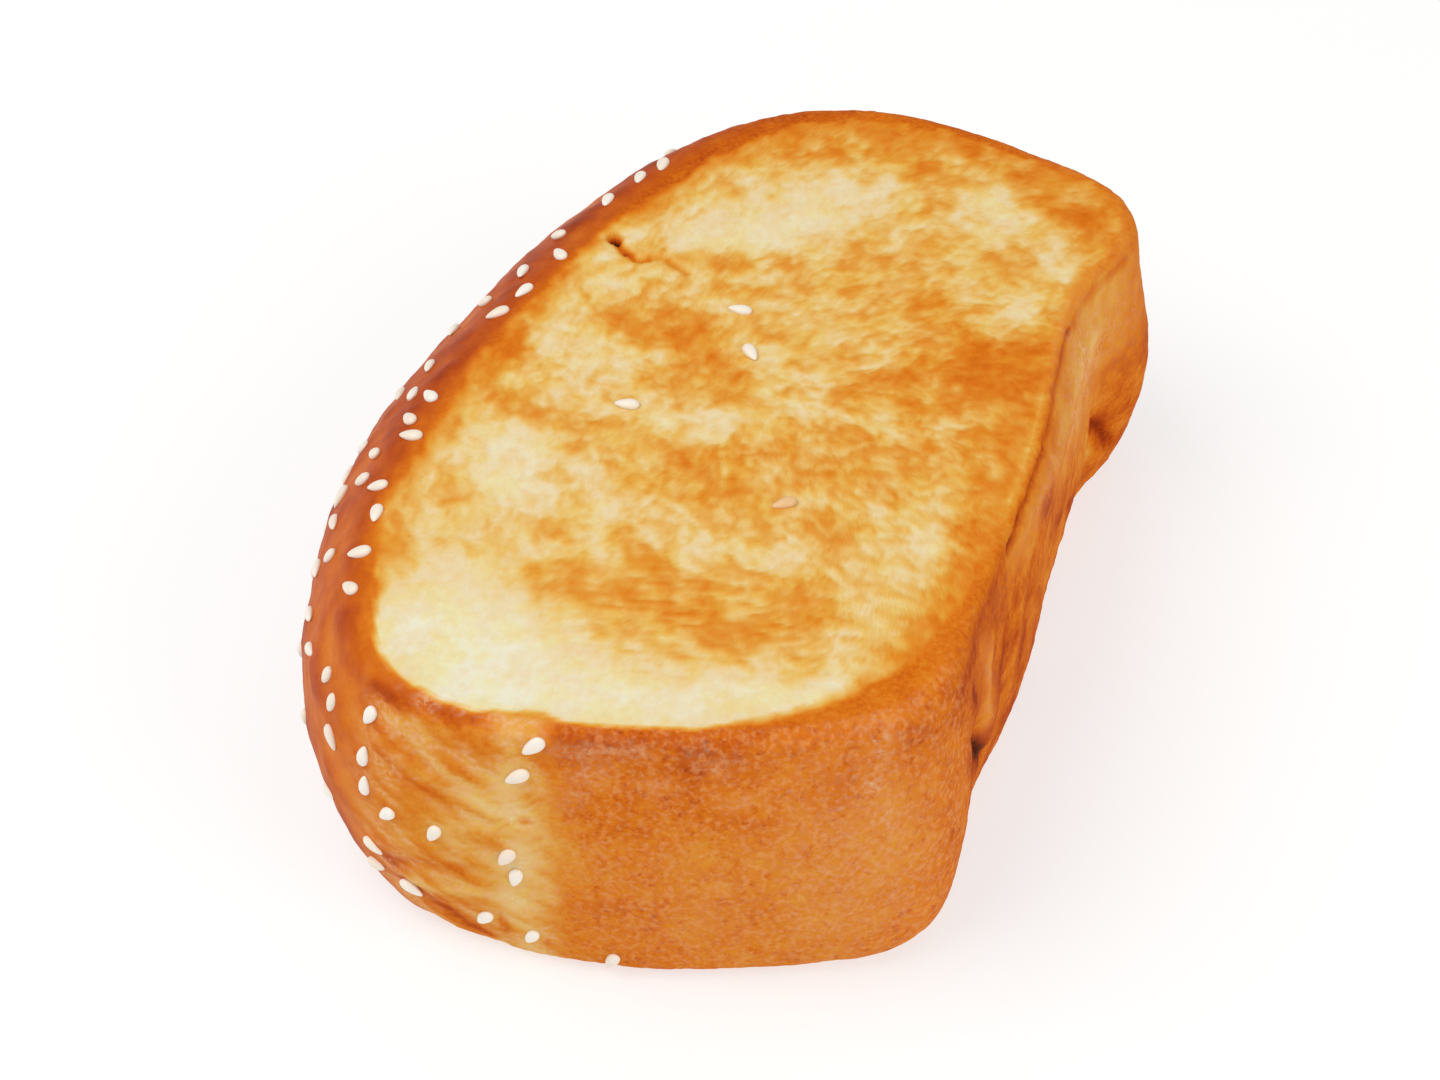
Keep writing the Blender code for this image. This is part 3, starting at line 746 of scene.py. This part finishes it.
# Colours from untoasted crumb to dark crust, each at how brown it is.
bake_colours = [
    (0.00, (0.800, 0.760, 0.590)),
    (0.02, (0.795, 0.722, 0.512)),
    (0.06, (0.790, 0.662, 0.420)),
    (0.11, (0.785, 0.600, 0.322)),
    (0.155, (0.776, 0.542, 0.224)),
    (0.205, (0.768, 0.484, 0.150)),
    (0.26, (0.756, 0.420, 0.101)),
    (0.35, (0.730, 0.327, 0.052)),
    (0.45, (0.706, 0.243, 0.025)),
    (0.55, (0.662, 0.170, 0.011)),
    (0.63, (0.575, 0.120, 0.008)),
    (0.72, (0.462, 0.073, 0.007)),
    (0.80, (0.340, 0.045, 0.006)),
    (1.00, (0.070, 0.012, 0.004)),
]
ramp = nodes.new("ShaderNodeValToRGB")
while len(ramp.color_ramp.elements) < len(bake_colours):
    ramp.color_ramp.elements.new(0.5)
for element, (stop, colour) in zip(ramp.color_ramp.elements, bake_colours):
    element.position = stop
    element.color = (*colour, 1.0)
links.new(brownness, ramp.inputs["Fac"])


def tinted(how_far, under, colour, kind="MIX"):
    """A colour laid over another as far as a map says."""
    node = nodes.new("ShaderNodeMix")
    node.data_type = "RGBA"
    node.blend_type = kind
    node.inputs[7].default_value = (*colour, 1.0)
    links.new(how_far, node.inputs[0])
    links.new(under, node.inputs[6])
    return node.outputs[2]


egg_tint = (1.0, 0.99, 0.80)
glint_colour = (0.80, 0.38, 0.16)
scuff_highlight_colour = (0.82, 0.50, 0.27)
# Pale specks on the porous crust are painted highlight glints.
glint_specks = reckon("MULTIPLY", above(glint_noise, 0.42, 0.30), porous_map)
yellower = tinted(above(egg_yellow, 0.42, 0.20), ramp.outputs["Color"], egg_tint, "MULTIPLY")
with_glints = tinted(reckon("MULTIPLY", glint_specks, 0.36), yellower, glint_colour)
# The pinkish scuff tint is partly painted highlight on the wall's wrinkles and ridges.
scuff_and_highlight = reckon("MULTIPLY", read_map("scuffed_and_highlit"), above(crust_pebble, 0.36, 0.30))
scuffed_and_highlit_crust = tinted(reckon("MULTIPLY", scuff_and_highlight, 0.70), with_glints, scuff_highlight_colour)
links.new(scuffed_and_highlit_crust, shader.inputs["Base Color"])

links.new(blend(eggwash_map, 0.65, 0.45), shader.inputs["Roughness"])
shader.inputs["Specular IOR Level"].default_value = 0.01
shader.inputs["Coat Roughness"].default_value = 0.32
links.new(reckon("MULTIPLY", eggwash_map, 0.10), shader.inputs["Coat Weight"])
shader.inputs["Subsurface Weight"].default_value = 0.10
shader.inputs["Subsurface Radius"].default_value = (1.0, 0.5, 0.2)
shader.inputs["Subsurface Scale"].default_value = 0.0015

crust_height = reckon("MULTIPLY", crust_pebble, calmed)
crust_height = reckon("ADD", crust_height, reckon("MULTIPLY", glint_specks, 0.15))
bump = nodes.new("ShaderNodeBump")
bump.inputs["Strength"].default_value = 0.5
bump.inputs["Distance"].default_value = 0.00025
links.new(blend(crust_map, crumb_grain, crust_height), bump.inputs["Height"])
links.new(bump.outputs["Normal"], shader.inputs["Normal"])

slice_mesh.materials.append(brioche)
brioche_slice = bpy.data.objects.new("brioche_slice", slice_mesh)
bpy.context.scene.collection.objects.link(brioche_slice)
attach(brioche_slice, "root")
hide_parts("brioche_toast")

# The sesame seeds. White hulled seeds were scattered on the egg wash before baking, so
# they sit half sunk in the glossy crown; four more fell on the toasted face. Sizes in mm.
seed_length = 3.1
seed_width = 1.6
seed_thickness = 1.1
seed_stands_out = 0.15
seed_gap = 5.6
hidden_count = 48

# Seeds that show from the front: distance round the slice, height, and lean in degrees.
shown_seeds = [
    (208, 36, -114), (198, 33, -114), (216, 39.3, 40), (214, 37, 75), (211, 33, -114),
    (220, 38.8, 44), (223.5, 39.6, 6), (224, 36, 38), (219, 31, 12), (228.5, 36, 18),
    (232, 39, 6), (237, 39.6, -92), (227, 31, -42), (232, 32, -114), (238.5, 33.5, 16),
    (236.5, 29, -98), (243, 39.2, 10), (248, 38.8, 52), (243, 28.8, -114), (248, 29, -116),
    (254, 32, 16), (256.3, 30.5, 14), (262, 34.8, 22), (257, 26, -46), (261.8, 28.8, -172),
    (262, 24.4, -176), (264.3, 22, 40), (269, 22, 24), (262, 13.8, -76), (265.4, 9.2, -66),
    (248, 17.5, 10), (255, 14, -110), (261.5, 9.5, -112), (276.2, 20.4, 30), (277, 17, 12),
    (273, 7.8, 32), (278, 5.6, 26), (287, 3.2, 24), (279.6, 38, 46), (277.8, 33.4, 54),
    (185.4, 39.7, 36), (189, 38, -114), (194, 39.7, -78), (199, 39.4, -46), (194, 35.6, 12),
    (180, 37.6, 14), (172, 39, -116), (166, 39.3, -118), (162.3, 39.6, -122),
]
# Seeds on the face: x, y, the direction they point in, in degrees, and how toasted they are.
face_seeds = [
    (-1.8, 12.5, 0, 0.2), (1.9, 4.9, 130, 0.2), (-9.5, -8.8, 10, 0.2), (13.5, -19.9, 40, 1.0)]

# Seeds on the rest of the crown, spread evenly and clear of those that show.
draw = random.Random(12)
taken = [(place, level) for place, level, _ in shown_seeds]
hidden_seeds = []
while len(hidden_seeds) < hidden_count:
    place = draw.uniform(143.0, 251.0)
    level = draw.uniform(5.0, 37.0)
    if place > 157.0 and level > 25.0:
        continue
    if all(math.hypot(place - other, level - height) > seed_gap for other, height in taken):
        taken.append((place, level))
        hidden_seeds.append((place, level, draw.uniform(0.0, 180.0)))
seed_sizes = [draw.uniform(0.92, 1.06) for _ in shown_seeds + hidden_seeds]

around_seed = 14
along_seed = 10
narrowing = 0.34
seed_points = []
seed_faces = []
seed_tints = []


def lay_seed(at, outward, pointing, size, tint):
    """One smooth teardrop seed, narrow end back, half sunk where it lies."""
    across = pointing.cross(outward).normalized()
    heart = at + outward * seed_stands_out
    start = len(seed_points)
    seed_points.append((heart - pointing * (size * seed_length / 2.0)) * mm)
    for ring in range(1, along_seed):
        lean = math.pi * ring / along_seed
        reach = -math.cos(lean)
        girth_here = math.sin(lean) * (1.0 + narrowing * reach)
        for k in range(around_seed):
            turn = 2.0 * math.pi * k / around_seed
            spot = (
                heart
                + across * (size * girth_here * math.cos(turn) * seed_width / 2.0)
                + outward * (size * girth_here * math.sin(turn) * seed_thickness / 2.0)
                + pointing * (size * reach * seed_length / 2.0))
            seed_points.append(spot * mm)
    seed_points.append((heart + pointing * (size * seed_length / 2.0)) * mm)
    seed_tints.extend([tint] * (len(seed_points) - start))
    last = len(seed_points) - 1
    for k in range(around_seed):
        m = (k + 1) % around_seed
        for ring in range(along_seed - 2):
            lower = start + 1 + ring * around_seed
            upper = lower + around_seed
            seed_faces.append((lower + k, upper + k, upper + m, lower + m))
        seed_faces.append((start, start + 1 + k, start + 1 + m))
        seed_faces.append((last, last - around_seed + m, last - around_seed + k))


for (place, level, seed_lean), size in zip(shown_seeds + hidden_seeds, seed_sizes):
    up_here = np.array([level / thickness])
    at = Vector(wall_points([place], up_here)[0])
    along = (Vector(wall_points([place + 0.5], up_here)[0]) - at).normalized()
    up = (Vector(wall_points([place], up_here + 0.5 / thickness)[0]) - at).normalized()
    outward = along.cross(up).normalized()
    angle = math.radians(seed_lean)
    pointing = up * math.cos(angle) + along * math.sin(angle)
    lay_seed(at, outward, pointing, size, draw.uniform(0.0, 0.3))
face_points = moved[on_top]
for seed_x, seed_y, direction, tint in face_seeds:
    angle = math.radians(direction)
    pointing = Vector((math.cos(angle), math.sin(angle), 0.0))
    nearest = np.argmin(np.hypot(face_points[:, 0] - seed_x, face_points[:, 1] - seed_y))
    at = Vector((seed_x, seed_y, face_points[nearest, 2]))
    lay_seed(at, Vector((0.0, 0.0, 1.0)), pointing, 1.0, tint)

seed_mesh = bpy.data.meshes.new("sesame_seeds")
seed_mesh.from_pydata(seed_points, [], seed_faces)
tints = seed_mesh.attributes.new("tint", "FLOAT", "POINT")
tints.data.foreach_set("value", np.array(seed_tints, dtype=np.float32))
seed_mesh.shade_smooth()
hulled = bpy.data.materials.new("hulled_sesame")
hulled.use_nodes = True
nodes = hulled.node_tree.nodes
links = hulled.node_tree.links
shader = nodes["Principled BSDF"]
tint_ramp = nodes.new("ShaderNodeValToRGB")
tint_ramp.color_ramp.elements[0].color = (0.91, 0.87, 0.79, 1.0)
tint_ramp.color_ramp.elements[1].color = (0.80, 0.50, 0.24, 1.0)
links.new(read_map("tint"), tint_ramp.inputs["Fac"])
links.new(tint_ramp.outputs["Color"], shader.inputs["Base Color"])
shader.inputs["Roughness"].default_value = 0.42
seed_grain = speckle(1500.0, 2.0, unstretched, 0.0)
bump = nodes.new("ShaderNodeBump")
bump.inputs["Strength"].default_value = 0.25
bump.inputs["Distance"].default_value = 0.0001
links.new(seed_grain, bump.inputs["Height"])
links.new(bump.outputs["Normal"], shader.inputs["Normal"])
seed_mesh.materials.append(hulled)
sesame_seeds = bpy.data.objects.new("sesame_seeds", seed_mesh)
bpy.context.scene.collection.objects.link(sesame_seeds)
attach(sesame_seeds, "root")
